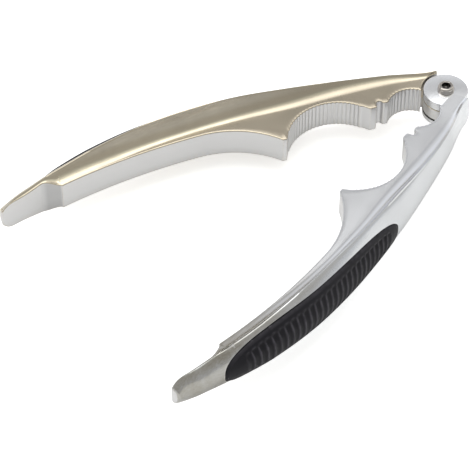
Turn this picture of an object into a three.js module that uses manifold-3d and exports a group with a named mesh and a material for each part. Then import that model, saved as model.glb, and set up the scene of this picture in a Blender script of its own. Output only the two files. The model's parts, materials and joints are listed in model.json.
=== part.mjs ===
// Two-lever nutcracker. A forked lever and a tongue lever turn on one sleeve nut and screw, and each lever
// carries a rubber grip let into its back. Millimetres, +Z up. The tool lies flat and half open, with its
// handles towards -X, the tongue lever on the +Y side and the fork lever on the -Y side.
//
// A lever is drawn in its own plane: x runs along it from the pivot axis to its tip, y points inwards to the
// other lever, so its back has negative y, and z = 0 is the middle of its thickness.
import * as THREE from "three";
import { ParametricGeometry } from "three/addons/geometries/ParametricGeometry.js";
import { mergeVertices } from "three/addons/utils/BufferGeometryUtils.js";
import Module from "manifold-3d";

// Whole tool
const OPENING_ANGLE = 34; // between the two levers as they lie, degrees
const WEB_THICKNESS = 12; // the flat plate that carries the jaws

// Pivot
const EAR_RADIUS = 8.7; // the round ends of both levers
const TOP_EAR = 3.6; // thickness of the fork's upper ear
const BOTTOM_EAR = 2; // thickness of the fork's lower ear
const TOP_WASHER = 0.3;
const BOTTOM_WASHER = 0.7;
const WASHER_INSET = 0.5; // the washers stay this far inside the ears
const SEAT_GAP = 0.05; // between two faces that bear on each other
const SHOULDER_GAP = 0.8; // between an ear and the shoulder cut round it
const BARREL_RADIUS = 2.5; // the sleeve nut's barrel, which the tongue turns on
const RUNNING_CLEARANCE = 0.1; // round the barrel
const SHANK_RADIUS = 1.5; // the screw inside the barrel
const SCREW_CLEARANCE = 0.1; // round the shank
const BARREL_FLOOR = 2; // solid end of the barrel, below the screw
const END_GAP = 0.3; // at the free end of the barrel and of the shank
const HEAD_RADIUS = 3.3; // of the screw and of the sleeve nut
const HEAD_RIM_RADIUS = 2.5; // flat rim on top of a head
const HEAD_HEIGHT = 2.2;
const HEAD_EDGE = 0.5; // straight edge at the foot of a head
const HEAD_SHOULDER = { in: 0.2, down: 0.5 }; // rounding between that edge and the flat top
const SOCKET_RADIUS = 1.6; // mean radius of the six-lobed socket
const SOCKET_LOBE = 0.2; // how far a lobe stands out from it
const SOCKET_LOBES = 6;
const SOCKET_DEPTH = 1.3;

// Jaws, measured along the lever from the pivot axis, and back from its centre line
const HAZELNUT_CAVITY = { at: 15.7, radius: 10, depth: 5.8 };
const NOTCH = { at: 27, radius: 1.3, depth: 3.3 };
const WALNUT_CAVITY = { at: 48.6, radius: 20, depth: 9.5 };
const SHOULDER_DEPTH = 2.9; // where the small cavity meets the shoulder
const SMALL_NUB_DEPTH = 1.6; // the nub between the small cavity and the notch
const BIG_NUB_DEPTH = 0.4; // the nub between the notch and the large cavity
const NUB_CORNER = 0.5; // the cut corner of a nub
const CORNER_REACH = 3.5; // the corner past the large cavity stands this far over the centre line
const CORNER_WIDTH = 1.6; // flat on top of that corner
const TOOTH_PITCH = 1.65;
const TOOTH_HEIGHT = 0.4;
const CAVITY_PLAIN_END = 2.1; // without teeth, along the lever, at each end of the large cavity

// Handle
const GRIP_SETBACK = 0.7; // the grip starts this far past the large cavity
const GRIP_LENGTH = 94;
const GRIP_WIDTH = 19.4;
const GRIP_FULLNESS = 2.7; // exponent of the grip's oval outline: 2 would be an ellipse
const GRIP_DEPTH = 1.4; // how far the grip is let into the back
const GRIP_PROUD = { rim: 0.2, start: 0.9, end: 1.6 }; // how far it stands above the back, at its middle line
const GRIP_SWELL = { from: 0.3, to: 0.95 }; // shares of its length between which it swells
const GRIP_GAP = 0.3; // between the grip and its pocket
const GRIP_BORDER = 3.9; // bare metal between the grip and the ridge where the back is widest
const TIP_LENGTH = 18; // bare metal past the grip
const TIP_ROUNDING = 6.4; // length over which the tip is rounded
const TIP_CUT = 0.3; // the rounding would end this far past the tip, which is cut off square
const TIP_FULLNESS = 2.3; // exponent of the tip's rounding: 2 would be an ellipse
const BACK_START = -0.5; // the back's square end, behind the pivot axis
const FLANK_BEND = 0.66; // how far out the hollow between web and ridge stays low, as a share of its width
const WAIST_RADIUS = 38; // inner edge of the handle, next to the jaws
const WAIST_DEPTH = 9.75; // where the inner edge lies furthest back
const REACH_RADIUS = 250; // gentle curve of the inner edge from there to the step
const STEP_SETBACK = 6.7; // the web ends this far before the end of the grip
const STEP_LENGTH = 7; // the hollow step slopes down over this length
const STEP_DROP = 0.4; // upright part of the step at its corner
const STEP_DEPTH = 5.25; // foot of the step, back from the centre line
const BLADE_BOW = 1.15; // exponent of the blade's inner face: 1 would be flat
const BLADE_RIM = 0.8; // rounded rim of the blade beyond the step
const RIM_WIDTH = 0.1; // least width of that rim

// Worked out from the sizes above
const WEB_HALF = WEB_THICKNESS / 2;
const SHOULDER_RADIUS = EAR_RADIUS + SHOULDER_GAP;
const BORE_RADIUS = BARREL_RADIUS + RUNNING_CLEARANCE;
const SLOT_TOP = WEB_HALF - TOP_EAR;
const SLOT_BOTTOM = -WEB_HALF + BOTTOM_EAR;
const KNUCKLE_TOP = SLOT_TOP - TOP_WASHER - 2 * SEAT_GAP;
const KNUCKLE_BOTTOM = SLOT_BOTTOM + BOTTOM_WASHER + 2 * SEAT_GAP;
const CORNER_AT = crossing(WALNUT_CAVITY, CORNER_REACH, 1);
const CORNER_END = CORNER_AT + CORNER_WIDTH;
const WAIST_AT = crossing({ at: CORNER_END, radius: WAIST_RADIUS, depth: WAIST_DEPTH }, CORNER_REACH, 1);
const GRIP_START = CORNER_AT + GRIP_SETBACK;
const GRIP_END = GRIP_START + GRIP_LENGTH;
const LEVER_LENGTH = GRIP_END + TIP_LENGTH;
const STEP_AT = GRIP_END - STEP_SETBACK;
const STEP_END = STEP_AT + STEP_LENGTH;
const RIDGE_HALF = GRIP_WIDTH / 2 + GRIP_BORDER;

// Tools of the model's making
const INNER_REACH = CORNER_REACH + 5; // the blank's web goes this far in before the jaws are cut
const OUTER_REACH = 60; // a cutter goes this far out past the back
const CUT_MARGIN = 4; // a cutter stands this far past what it cuts
const ROUND_STEPS = 48;
const SAME_POINT = 1e-4; // points closer than this are one
const TOOTH_STEPS = 3;

const wasm = await Module();
wasm.setup();

// Where a round hollow crosses a level: side is -1 before its deepest point and 1 after it.
function crossing({ at, radius, depth }, level, side) {
  const rise = radius - depth - level;
  return at + side * Math.sqrt(radius ** 2 - rise ** 2);
}

// Solids, joined and cut

function solidOf(geometry) {
  const bare = geometry.clone();
  bare.deleteAttribute("normal");
  bare.deleteAttribute("uv");
  const merged = mergeVertices(bare, SAME_POINT);
  const index = merged.index.array;
  const triangles = [];
  for (let i = 0; i < index.length; i += 3) {
    const [a, b, c] = [index[i], index[i + 1], index[i + 2]];
    if (a !== b && b !== c && c !== a) triangles.push(a, b, c);
  }
  const vertProperties = merged.attributes.position.array;
  const triVerts = new Uint32Array(triangles);
  return new wasm.Manifold(new wasm.Mesh({ numProp: 3, vertProperties, triVerts }));
}

function geometryOf(solid) {
  const { vertProperties, triVerts } = solid.getMesh();
  const geometry = new THREE.BufferGeometry();
  geometry.setAttribute("position", new THREE.BufferAttribute(vertProperties, 3));
  geometry.setIndex(new THREE.BufferAttribute(triVerts, 1));
  geometry.computeVertexNormals();
  return geometry;
}

// A round disc or pin on the pivot axis between two heights.
function disc(radius, bottom, top) {
  const geometry = new THREE.CylinderGeometry(radius, radius, top - bottom, ROUND_STEPS);
  geometry.rotateX(Math.PI / 2);
  geometry.translate(0, 0, (top + bottom) / 2);
  return solidOf(geometry);
}

// A flat outline, given thickness between two heights.
function plate(points, bottom, top) {
  const geometry = new THREE.ExtrudeGeometry(new THREE.Shape(points), {
    depth: top - bottom,
    bevelEnabled: false,
  });
  geometry.translate(0, 0, bottom);
  return solidOf(geometry);
}

// A closed body through a row of sections, each a ring of points, closed at both ends on the points given.
function loft(rings, firstCentre, lastCentre) {
  const around = rings[0].length;
  const rows = [rings[0].map(() => firstCentre), ...rings, rings[0].map(() => lastCentre)];
  const pointAt = (s, t, target) => {
    const row = rows[Math.round(t * (rows.length - 1))];
    target.copy(row[Math.round(s * around) % around]);
  };
  return solidOf(new ParametricGeometry(pointAt, around, rows.length - 1));
}

// The back: how wide and how deep it is along the lever

// Each row: [along the lever, share of the back's full spread over the web, ridge, crown of the back, foot of
// the hollow between the web and the ridge].
function backRows() {
  const alongJaws = (share) => share * CORNER_AT;
  const alongGrip = (share) => GRIP_START + share * GRIP_LENGTH;
  const alongTip = (share) => GRIP_END + share * TIP_LENGTH;
  return [
    [BACK_START, 0.2, -EAR_RADIUS - 1.3, -EAR_RADIUS - 2.5, -8],
    [alongJaws(0.3), 0.23, -14.2, -15.6, -9.7],
    [alongJaws(0.6), 0.4, -16.7, -19.1, -10.6],
    [alongJaws(0.9), 0.69, -17.6, -21.7, -10.9],
    [alongGrip(0.13), 0.92, -18.3, -22.4, -12],
    [alongGrip(0.34), 1, -17.6, -22.8, -11.9],
    [alongGrip(0.55), 0.89, -16.1, -21.6, -9.9],
    [alongGrip(0.77), 0.63, -12.6, -17.9, -6],
    [alongGrip(0.87), 0.49, -10.3, -15.2, -3.8],
    [alongGrip(0.98), 0.36, -7.2, -11.7, -1.5],
    [alongTip(0.45), 0.17, -3.9, -8, 0],
    [alongTip(1), 0.13, -0.6, -4, 1],
  ];
}

const rows = backRows();
const backCurve = new THREE.CubicInterpolant(
  rows.map((row) => row[0]),
  rows.flatMap((row) => row.slice(1)),
  4,
);

// The inner edge of the handle: a tight hollow next to the jaws, then a gentle one up to the step.
function handleEdge(x) {
  const radius = x < WAIST_AT ? WAIST_RADIUS : REACH_RADIUS;
  return radius - WAIST_DEPTH - Math.sqrt(radius ** 2 - (x - WAIST_AT) ** 2);
}

// The inner face of the blade beyond the step, which comes back in to the centre line at the tip.
function bladeFace(x) {
  const left = Math.max(0, LEVER_LENGTH - x) / (LEVER_LENGTH - STEP_END);
  return -STEP_DEPTH * left ** BLADE_BOW;
}

// The hollow slope from the corner of the step down to the blade.
function stepSlope(x) {
  const share = (x - STEP_AT) / STEP_LENGTH;
  return THREE.MathUtils.lerp(handleEdge(STEP_AT) - STEP_DROP, -STEP_DEPTH, Math.sin((share * Math.PI) / 2));
}

// The sizes of the section at a place along the lever.
function sectionAt(x) {
  const [share, ridge, crown, drawnFoot] = backCurve.evaluate(x);
  const intoTip = Math.max(0, x - LEVER_LENGTH + TIP_ROUNDING) / (TIP_ROUNDING + TIP_CUT);
  const fullHalf = THREE.MathUtils.lerp(WEB_HALF, RIDGE_HALF, share);
  const ridgeHalf = fullHalf * (1 - intoTip ** TIP_FULLNESS) ** (1 / TIP_FULLNESS);
  const onBlade = THREE.MathUtils.smoothstep(x, STEP_AT, STEP_END);
  const webHalf = THREE.MathUtils.lerp(WEB_HALF, ridgeHalf - BLADE_RIM, onBlade);
  const face = x < STEP_AT ? drawnFoot : (x < STEP_END ? stepSlope(x) : bladeFace(x)) - RIM_WIDTH;
  const foot = Math.min(drawnFoot, face);
  const bulge = ridge - crown;
  const radius = (ridgeHalf ** 2 + bulge ** 2) / (2 * bulge);
  return { x, webHalf, ridge, ridgeHalf, crown, foot, radius };
}

// Points of the rounded back from one ridge to the other, raised by an offset that may vary between them.
function backArc(section, offset, steps) {
  const { x, ridgeHalf, crown, radius } = section;
  const centre = crown + radius;
  const half = Math.atan2(ridgeHalf, centre - section.ridge);
  const points = [];
  for (let i = 0; i <= steps; i++) {
    const share = 1 - (2 * i) / steps;
    const reach = radius + offset(share);
    points.push(new THREE.Vector3(
      x,
      centre - reach * Math.cos(half * share),
      reach * Math.sin(half * share),
    ));
  }
  return points;
}

// Points of the hollow flank from the web up to the ridge, without its two ends. It gets ever steeper.
function flank({ x, webHalf, ridge, ridgeHalf, foot }) {
  const width = foot - ridge;
  return [0.3, 0.55, 0.8].map((t) => new THREE.Vector3(
    x,
    foot - width * (2 * FLANK_BEND * t * (1 - t) + t ** 2),
    webHalf + (ridgeHalf - webHalf) * t ** 2,
  ));
}

// Evenly spread places between two ends, both included.
function spread(from, to, count) {
  return Array.from({ length: count + 1 }, (_, i) => THREE.MathUtils.lerp(from, to, i / count));
}

// The lever before its jaws are cut: a web with a broad hollow-flanked back.
function leverBlank() {
  const mirrored = (points) => points.map((p) => new THREE.Vector3(p.x, p.y, -p.z)).reverse();
  const places = [
    ...spread(BACK_START, GRIP_START, 8),
    ...spread(GRIP_START, STEP_AT, 12).slice(1),
    ...spread(STEP_AT, STEP_END, 4).slice(1),
    ...spread(STEP_END, LEVER_LENGTH - TIP_ROUNDING, 3).slice(1),
    ...spread(LEVER_LENGTH - TIP_ROUNDING, LEVER_LENGTH, 5).slice(1),
  ];
  const sections = places.map(sectionAt);
  const rings = sections.map((section) => {
    const { x, webHalf, foot } = section;
    const upper = [
      new THREE.Vector3(x, INNER_REACH, webHalf),
      new THREE.Vector3(x, foot, webHalf),
      ...flank(section),
    ];
    return [...upper, ...backArc(section, () => 0, 8), ...mirrored(upper)];
  });
  const first = sections[0];
  const last = sections[sections.length - 1];
  return loft(
    rings,
    new THREE.Vector3(first.x, first.ridge, 0),
    new THREE.Vector3(last.x, last.ridge, 0),
  );
}

// The jaws: the lever's inner outline

// Points of a round hollow between two places along the lever, deepest at its middle.
function hollow({ at, radius, depth }, from, to, count) {
  return spread(from, to, count).map((x) => new THREE.Vector2(
    x,
    radius - depth - Math.sqrt(Math.max(0, radius ** 2 - (x - at) ** 2)),
  ));
}

// The same hollow with rounded upright teeth all the way.
function toothedHollow({ at, radius, depth }, from, to) {
  const startAngle = Math.asin((from - at) / radius);
  const endAngle = Math.asin((to - at) / radius);
  const teeth = Math.round((radius * (endAngle - startAngle)) / TOOTH_PITCH);
  const steps = teeth * TOOTH_STEPS;
  return spread(startAngle, endAngle, steps).map((angle, i) => {
    const reach = radius - TOOTH_HEIGHT * Math.sin((Math.PI * (i % TOOTH_STEPS)) / TOOTH_STEPS);
    return new THREE.Vector2(
      at + reach * Math.sin(angle),
      radius - depth - reach * Math.cos(angle),
    );
  });
}

function leverOutline() {
  const point = (x, y) => new THREE.Vector2(x, y);
  const hazelnutFrom = crossing(HAZELNUT_CAVITY, -SHOULDER_DEPTH, -1);
  const hazelnutTo = crossing(HAZELNUT_CAVITY, -SMALL_NUB_DEPTH, 1);
  const notchFrom = crossing(NOTCH, -NOTCH.depth + NOTCH.radius, -1);
  const notchTo = crossing(NOTCH, -NOTCH.depth + NOTCH.radius, 1);
  const walnutFrom = crossing(WALNUT_CAVITY, -BIG_NUB_DEPTH, -1);
  const waist = { at: WAIST_AT, radius: WAIST_RADIUS, depth: WAIST_DEPTH };
  const reach = { at: WAIST_AT, radius: REACH_RADIUS, depth: WAIST_DEPTH };
  const slope = spread(STEP_AT, STEP_END, 6).map((x) => point(x, stepSlope(x)));
  const blade = spread(STEP_END, LEVER_LENGTH, 8).slice(1).map((x) => point(x, bladeFace(x)));
  return [
    point(BACK_START - CUT_MARGIN, -SHOULDER_DEPTH),
    ...toothedHollow(HAZELNUT_CAVITY, hazelnutFrom, hazelnutTo),
    point(notchFrom - NUB_CORNER, -SMALL_NUB_DEPTH),
    point(notchFrom, -SMALL_NUB_DEPTH - NUB_CORNER),
    ...hollow(NOTCH, notchFrom, notchTo, 6),
    point(notchTo, -BIG_NUB_DEPTH - 2 * NUB_CORNER),
    point(notchTo + NUB_CORNER, -BIG_NUB_DEPTH),
    point(walnutFrom - NUB_CORNER, -BIG_NUB_DEPTH),
    ...toothedHollow(WALNUT_CAVITY, walnutFrom + CAVITY_PLAIN_END, CORNER_AT - CAVITY_PLAIN_END),
    point(CORNER_AT, CORNER_REACH),
    point(CORNER_END, CORNER_REACH),
    ...hollow(waist, CORNER_END, WAIST_AT, 10).slice(1),
    ...hollow(reach, WAIST_AT, STEP_AT, 8).slice(1),
    ...slope,
    ...blade,
    point(LEVER_LENGTH + CUT_MARGIN, bladeFace(LEVER_LENGTH)),
    point(LEVER_LENGTH + CUT_MARGIN, -OUTER_REACH),
    point(BACK_START - CUT_MARGIN, -OUTER_REACH),
  ];
}

// The grip and its pocket

// An oval prism through the back, grown by a margin on all sides.
function ovalPrism(margin) {
  const halfLength = GRIP_LENGTH / 2 + margin;
  const halfWidth = GRIP_WIDTH / 2 + margin;
  const rounded = (share) => Math.sign(share) * Math.abs(share) ** (2 / GRIP_FULLNESS);
  const points = [];
  for (let i = 0; i < ROUND_STEPS; i++) {
    const angle = (i / ROUND_STEPS) * 2 * Math.PI;
    points.push(new THREE.Vector2(
      GRIP_START + GRIP_LENGTH / 2 + halfLength * rounded(Math.cos(angle)),
      halfWidth * rounded(Math.sin(angle)),
    ));
  }
  const geometry = new THREE.ExtrudeGeometry(new THREE.Shape(points), {
    depth: OUTER_REACH,
    bevelEnabled: false,
  });
  geometry.rotateX(Math.PI / 2);
  return solidOf(geometry);
}

// A curved slab that follows the back, from a depth under it up to a height over it, cut to the oval. The
// height is a function of the section's place and of the share of the way from the crown to the ridge.
function backSlab(depth, height, margin) {
  const places = spread(GRIP_START - CUT_MARGIN / 2, GRIP_END + CUT_MARGIN / 2, 14);
  const sections = places.map(sectionAt);
  const rings = sections.map((section) => [
    ...backArc(section, (share) => height(section.x, share), 8),
    ...backArc(section, () => -depth, 8).reverse(),
  ]);
  const middle = (section) => new THREE.Vector3(section.x, section.crown + depth / 2, 0);
  const slab = loft(rings, middle(sections[0]), middle(sections[sections.length - 1]));
  return slab.intersect(ovalPrism(margin));
}

// How far the grip stands above the back: most on its middle line, and more towards the tip.
function gripHeight(x, share) {
  const along = (x - GRIP_START) / GRIP_LENGTH;
  const swell = THREE.MathUtils.smoothstep(along, GRIP_SWELL.from, GRIP_SWELL.to);
  const middle = THREE.MathUtils.lerp(GRIP_PROUD.start, GRIP_PROUD.end, swell);
  return THREE.MathUtils.lerp(GRIP_PROUD.rim, middle, (1 - share ** 2) ** 2);
}

// The pieces, each in the plane of its own lever

function commonLever() {
  const pocket = backSlab(GRIP_DEPTH + GRIP_GAP, () => CUT_MARGIN, GRIP_GAP);
  return leverBlank().intersect(plate(leverOutline(), -OUTER_REACH, OUTER_REACH)).subtract(pocket);
}

// Two ears with a slot between them for the other lever's knuckle.
function forkLever(lever) {
  const ears = disc(EAR_RADIUS, -WEB_HALF, WEB_HALF);
  const slot = disc(SHOULDER_RADIUS, SLOT_BOTTOM, SLOT_TOP);
  const bore = disc(BORE_RADIUS, -WEB_HALF - CUT_MARGIN, WEB_HALF + CUT_MARGIN);
  return lever.add(ears).subtract(slot).subtract(bore);
}

// One knuckle that fits between the ears, with shoulders cut back round them.
function tongueLever(lever) {
  const above = disc(SHOULDER_RADIUS, KNUCKLE_TOP, OUTER_REACH);
  const below = disc(SHOULDER_RADIUS, -OUTER_REACH, KNUCKLE_BOTTOM);
  const knuckle = disc(EAR_RADIUS, KNUCKLE_BOTTOM, KNUCKLE_TOP);
  const bore = disc(BORE_RADIUS, -WEB_HALF - CUT_MARGIN, WEB_HALF + CUT_MARGIN);
  return lever.subtract(above).subtract(below).add(knuckle).subtract(bore);
}

// Turned profile with a low domed head: points are [radius, height] above the seat, shank points come first.
function headProfile(shank) {
  return [
    ...shank,
    new THREE.Vector2(HEAD_RADIUS, 0),
    new THREE.Vector2(HEAD_RADIUS, HEAD_EDGE),
    new THREE.Vector2(HEAD_RADIUS - HEAD_SHOULDER.in, HEAD_HEIGHT - HEAD_SHOULDER.down),
    new THREE.Vector2(HEAD_RIM_RADIUS, HEAD_HEIGHT),
    new THREE.Vector2(0, HEAD_HEIGHT),
  ];
}

// The profiles are drawn head up: a lathe turns them round its own y axis, which then points along +Z.
function turned(profile) {
  const geometry = new THREE.LatheGeometry(profile, ROUND_STEPS);
  geometry.rotateX(Math.PI / 2);
  return solidOf(geometry);
}

// A round hole with shallow lobes.
function socketCutter() {
  const points = [];
  for (let i = 0; i < ROUND_STEPS; i++) {
    const angle = (i / ROUND_STEPS) * 2 * Math.PI;
    const radius = SOCKET_RADIUS + SOCKET_LOBE * Math.cos(SOCKET_LOBES * angle);
    points.push(new THREE.Vector2(radius * Math.cos(angle), radius * Math.sin(angle)));
  }
  return plate(points, HEAD_HEIGHT - SOCKET_DEPTH, HEAD_HEIGHT + CUT_MARGIN);
}

// Its shank stops short of the floor of the sleeve nut's barrel.
function screw() {
  const shankEnd = -(WEB_THICKNESS + 2 * SEAT_GAP - BARREL_FLOOR - END_GAP);
  const shank = [
    new THREE.Vector2(0, shankEnd),
    new THREE.Vector2(SHANK_RADIUS, shankEnd),
    new THREE.Vector2(SHANK_RADIUS, 0),
  ];
  return turned(headProfile(shank)).subtract(socketCutter());
}

// Its barrel passes both ears and the knuckle, and stops short of the screw's head.
function sleeveNut() {
  const barrelEnd = -(WEB_THICKNESS + 2 * SEAT_GAP - END_GAP);
  const floor = -BARREL_FLOOR;
  const wall = SHANK_RADIUS + SCREW_CLEARANCE;
  const barrel = [
    new THREE.Vector2(0, floor),
    new THREE.Vector2(wall, floor),
    new THREE.Vector2(wall, barrelEnd),
    new THREE.Vector2(BARREL_RADIUS, barrelEnd),
    new THREE.Vector2(BARREL_RADIUS, 0),
  ];
  return turned(headProfile(barrel)).subtract(socketCutter());
}

function washer(thickness) {
  const inner = BORE_RADIUS;
  const outer = EAR_RADIUS - WASHER_INSET;
  return turned([
    new THREE.Vector2(inner, 0),
    new THREE.Vector2(outer, 0),
    new THREE.Vector2(outer, thickness),
    new THREE.Vector2(inner, thickness),
    new THREE.Vector2(inner, 0),
  ]);
}

// Materials

function satinNickel() {
  return new THREE.MeshStandardMaterial({ color: 0xc6c7c6, metalness: 1, roughness: 0.32 });
}

function polishedSteel() {
  return new THREE.MeshStandardMaterial({ color: 0xcfcac4, metalness: 1, roughness: 0.15 });
}

function blackRubber() {
  return new THREE.MeshStandardMaterial({ color: 0x35323a, metalness: 0, roughness: 0.6 });
}

function blackNylon() {
  return new THREE.MeshStandardMaterial({ color: 0x1a1a1c, metalness: 0, roughness: 0.5 });
}

// The assembly

function mesh(name, solid, material) {
  const made = new THREE.Mesh(geometryOf(solid), material);
  made.name = name;
  return made;
}

// The fork lever is the mirror image of the tongue lever, so its group turns its drawing over in y.
function leverGroup(side) {
  const group = new THREE.Group();
  group.rotation.z = Math.PI - side * THREE.MathUtils.degToRad(OPENING_ANGLE / 2);
  group.scale.y = side;
  return group;
}

function pivotGroup() {
  const screwMesh = mesh("pivot_screw", screw(), polishedSteel());
  screwMesh.position.z = WEB_HALF + SEAT_GAP;
  const nutMesh = mesh("pivot_sleeve_nut", sleeveNut(), polishedSteel());
  nutMesh.rotation.x = Math.PI;
  nutMesh.position.z = -WEB_HALF - SEAT_GAP;
  const topWasher = mesh("upper_washer", washer(TOP_WASHER), blackNylon());
  topWasher.position.z = KNUCKLE_TOP + SEAT_GAP;
  const bottomWasher = mesh("lower_washer", washer(BOTTOM_WASHER), blackNylon());
  bottomWasher.position.z = SLOT_BOTTOM + SEAT_GAP;
  return new THREE.Group().add(screwMesh, nutMesh, topWasher, bottomWasher);
}

function nutcracker() {
  const lever = commonLever();
  const grip = backSlab(GRIP_DEPTH, gripHeight, 0);
  const fork = leverGroup(-1);
  fork.add(mesh("fork_lever", forkLever(lever), satinNickel()));
  fork.add(mesh("fork_lever_grip", grip, blackRubber()));
  const tongue = leverGroup(1);
  tongue.add(mesh("tongue_lever", tongueLever(lever), satinNickel()));
  tongue.add(mesh("tongue_lever_grip", grip, blackRubber()));
  return new THREE.Group().add(fork, tongue, pivotGroup());
}

// The origin is under the middle of the tool, on the surface that it lies on.
function onTheTable(assembly) {
  const box = new THREE.Box3().setFromObject(assembly, true);
  const centre = box.getCenter(new THREE.Vector3());
  assembly.position.set(-centre.x, -centre.y, -box.min.z);
  return new THREE.Group().add(assembly);
}

export default onTheTable(nutcracker());
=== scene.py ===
import json
import math

import bmesh
import bpy
from bpy.props import FloatProperty, FloatVectorProperty, IntProperty, PointerProperty
from mathutils import Matrix, Vector


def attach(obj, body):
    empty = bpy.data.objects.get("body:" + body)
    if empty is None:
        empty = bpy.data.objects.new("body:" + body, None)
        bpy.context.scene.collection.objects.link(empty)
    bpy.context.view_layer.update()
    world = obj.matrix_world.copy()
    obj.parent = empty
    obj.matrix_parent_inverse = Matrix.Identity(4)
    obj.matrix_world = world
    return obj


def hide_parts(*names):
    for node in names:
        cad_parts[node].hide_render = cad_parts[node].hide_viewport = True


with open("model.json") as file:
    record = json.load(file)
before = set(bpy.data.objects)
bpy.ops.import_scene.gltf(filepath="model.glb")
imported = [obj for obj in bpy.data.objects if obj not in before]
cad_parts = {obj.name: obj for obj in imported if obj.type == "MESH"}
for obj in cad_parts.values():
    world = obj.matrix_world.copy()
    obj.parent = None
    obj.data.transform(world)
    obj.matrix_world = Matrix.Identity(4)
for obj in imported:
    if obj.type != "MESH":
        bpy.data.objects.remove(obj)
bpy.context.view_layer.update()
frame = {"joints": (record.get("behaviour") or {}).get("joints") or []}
PIVOT = Vector(frame["joints"][0]["pos_m"])

bl_info = {
    "name": "Nutcracker",
    "version": (1, 0, 0),
    "blender": (4, 5, 0),
    "location": "View3D > Sidebar > Nutcracker",
    "description": "Two-lever nutcracker with ribbed grips, built round its packed frame",
    "category": "Add Mesh",
}

MM = 0.001
OPENING = math.radians(34)


# --- What a user would change ---


def length(name, description, millimetres):
    return FloatProperty(
        name=name, description=description, default=millimetres * MM, unit="LENGTH", precision=5
    )


def colour(name, description, rgb):
    return FloatVectorProperty(
        name=name, description=description, default=rgb, subtype="COLOR", size=3, min=0, max=1
    )


class NutcrackerSizes(bpy.types.PropertyGroup):
    edge: length("Jaw edge", "Radius on the inner edges of the jaws and handles", 0.45)
    ridge_round: length("Ridge round", "How far the ridge of the back is rounded", 0.35)
    tooth_height: length("Tooth height", "How far a tooth stands out of a cavity", 0.4)
    tooth_pitch: length("Tooth pitch", "From one tooth to the next", 1.65)
    rib_pitch: length("Rib pitch", "From one rib of the grip to the next", 3.0)
    rib_depth: length("Rib depth", "Depth of the grooves between the ribs", 0.65)
    rib_border: length("Rib border", "Smooth border of the grip outside its ribs", 3.0)
    head_radius: length("Head radius", "Radius of the screw's head and of the nut's", 3.3)
    lobes: IntProperty(name="Socket lobes", description="Lobes of the socket", default=6, min=4, max=8)


class NutcrackerColours(bpy.types.PropertyGroup):
    fork_nickel: colour("Fork nickel", "Satin nickel of the fork lever", (0.69, 0.70, 0.72))
    # Painted reflection: the warmer tone towards the fork lever's tip.
    fork_tip_reflection: colour("Fork tip", "Warmer satin towards the fork lever's tip", (0.33, 0.31, 0.265))
    # Painted reflection: the tongue's champagne tones stand in for warm reflections on the same satin
    # nickel as the fork.
    tongue_warm_reflection: colour("Tongue nickel", "Champagne satin of the tongue lever", (0.575, 0.515, 0.405))
    tongue_jaws_reflection: colour("Tongue jaws", "Deeper champagne beside its jaws", (0.455, 0.405, 0.32))
    # Painted reflection: the cooler tone of the upright inner faces of the jaws and handles.
    inner_wall_reflection: colour("Ground faces", "Ground faces of the jaws and handles", (0.66, 0.655, 0.66))
    steel: colour("Steel", "Polished steel of the screw and the nut", (0.47, 0.44, 0.41))
    rubber: colour("Rubber", "Rubber of the grips", (0.009, 0.0085, 0.011))
    nylon: colour("Nylon", "Nylon of the washers", (0.012, 0.012, 0.013))
    floor: colour("Floor", "Plain pale floor", (0.92, 0.92, 0.92))


# --- Sizes of the levers, in millimetres ---
# In a lever's own plane x runs from the pivot to the tip, y inwards to the other lever, and z up.

WEB_HALF = 6.0
EAR_RADIUS = 8.7
SHOULDER_RADIUS = 9.5
BORE_RADIUS = 2.6
SLOT_TOP = 2.4
SLOT_BOTTOM = -4.0
KNUCKLE_TOP = 2.0
KNUCKLE_BOTTOM = -3.2
SEAT_GAP = 0.05
SOCKET_LOBE = 0.2
# Each round hollow: where along the lever, its radius, and its depth from the centre line
HAZELNUT = (15.7, 10.0, 5.8)
NOTCH = (27.0, 1.3, 3.3)
WALNUT = (48.6, 20.0, 9.5)
SHOULDER_DEPTH = 2.9
SMALL_NUB = 1.6
BIG_NUB = 0.4
NUB_CORNER = 0.5
CORNER_REACH = 3.5
CORNER_WIDTH = 1.6
PLAIN_END = 2.1
WAIST_RADIUS = 38.0
WAIST_DEPTH = 9.75
REACH_RADIUS = 250.0
GRIP_SETBACK = 0.7
GRIP_LENGTH = 94.0
GRIP_WIDTH = 19.4
GRIP_FULLNESS = 2.7
GRIP_DEPTH = 1.4
GRIP_PROUD_START = 0.9
GRIP_PROUD_END = 1.6
GRIP_SHOULDER = 0.6  # how far the grip stands above the back just inside its rim
GRIP_SWELL = (0.3, 0.95)  # shares of its length between which it swells
GRIP_RIM = 1.1  # radius of its rounded rim
GRIP_GAP = 0.3
GRIP_BORDER = 3.9
RIDGE_HALF = GRIP_WIDTH / 2 + GRIP_BORDER
TIP_LENGTH = 18.0
TIP_ROUNDING = 6.4
TIP_CUT = 0.3
TIP_FULLNESS = 2.3
FLANK_BEND = 0.66
STEP_SETBACK = 6.7
STEP_LENGTH = 7.0
STEP_DROP = 0.4
STEP_DEPTH = 5.25
BLADE_BOW = 1.15
BLADE_RIM = 0.8
RIM_WIDTH = 0.1
BACK_START = -0.5  # the back's square end, behind the pivot axis
LEAST_REACH = 0.3  # from the ridge to the foot of the flank, at least


def crossing(hollow, level, side):
    """Where a round hollow crosses a level: side is -1 for the pivot's side and 1 for the tip's."""
    at, radius, depth = hollow
    rise = radius - depth - level
    return at + side * math.sqrt(radius**2 - rise**2)


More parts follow.
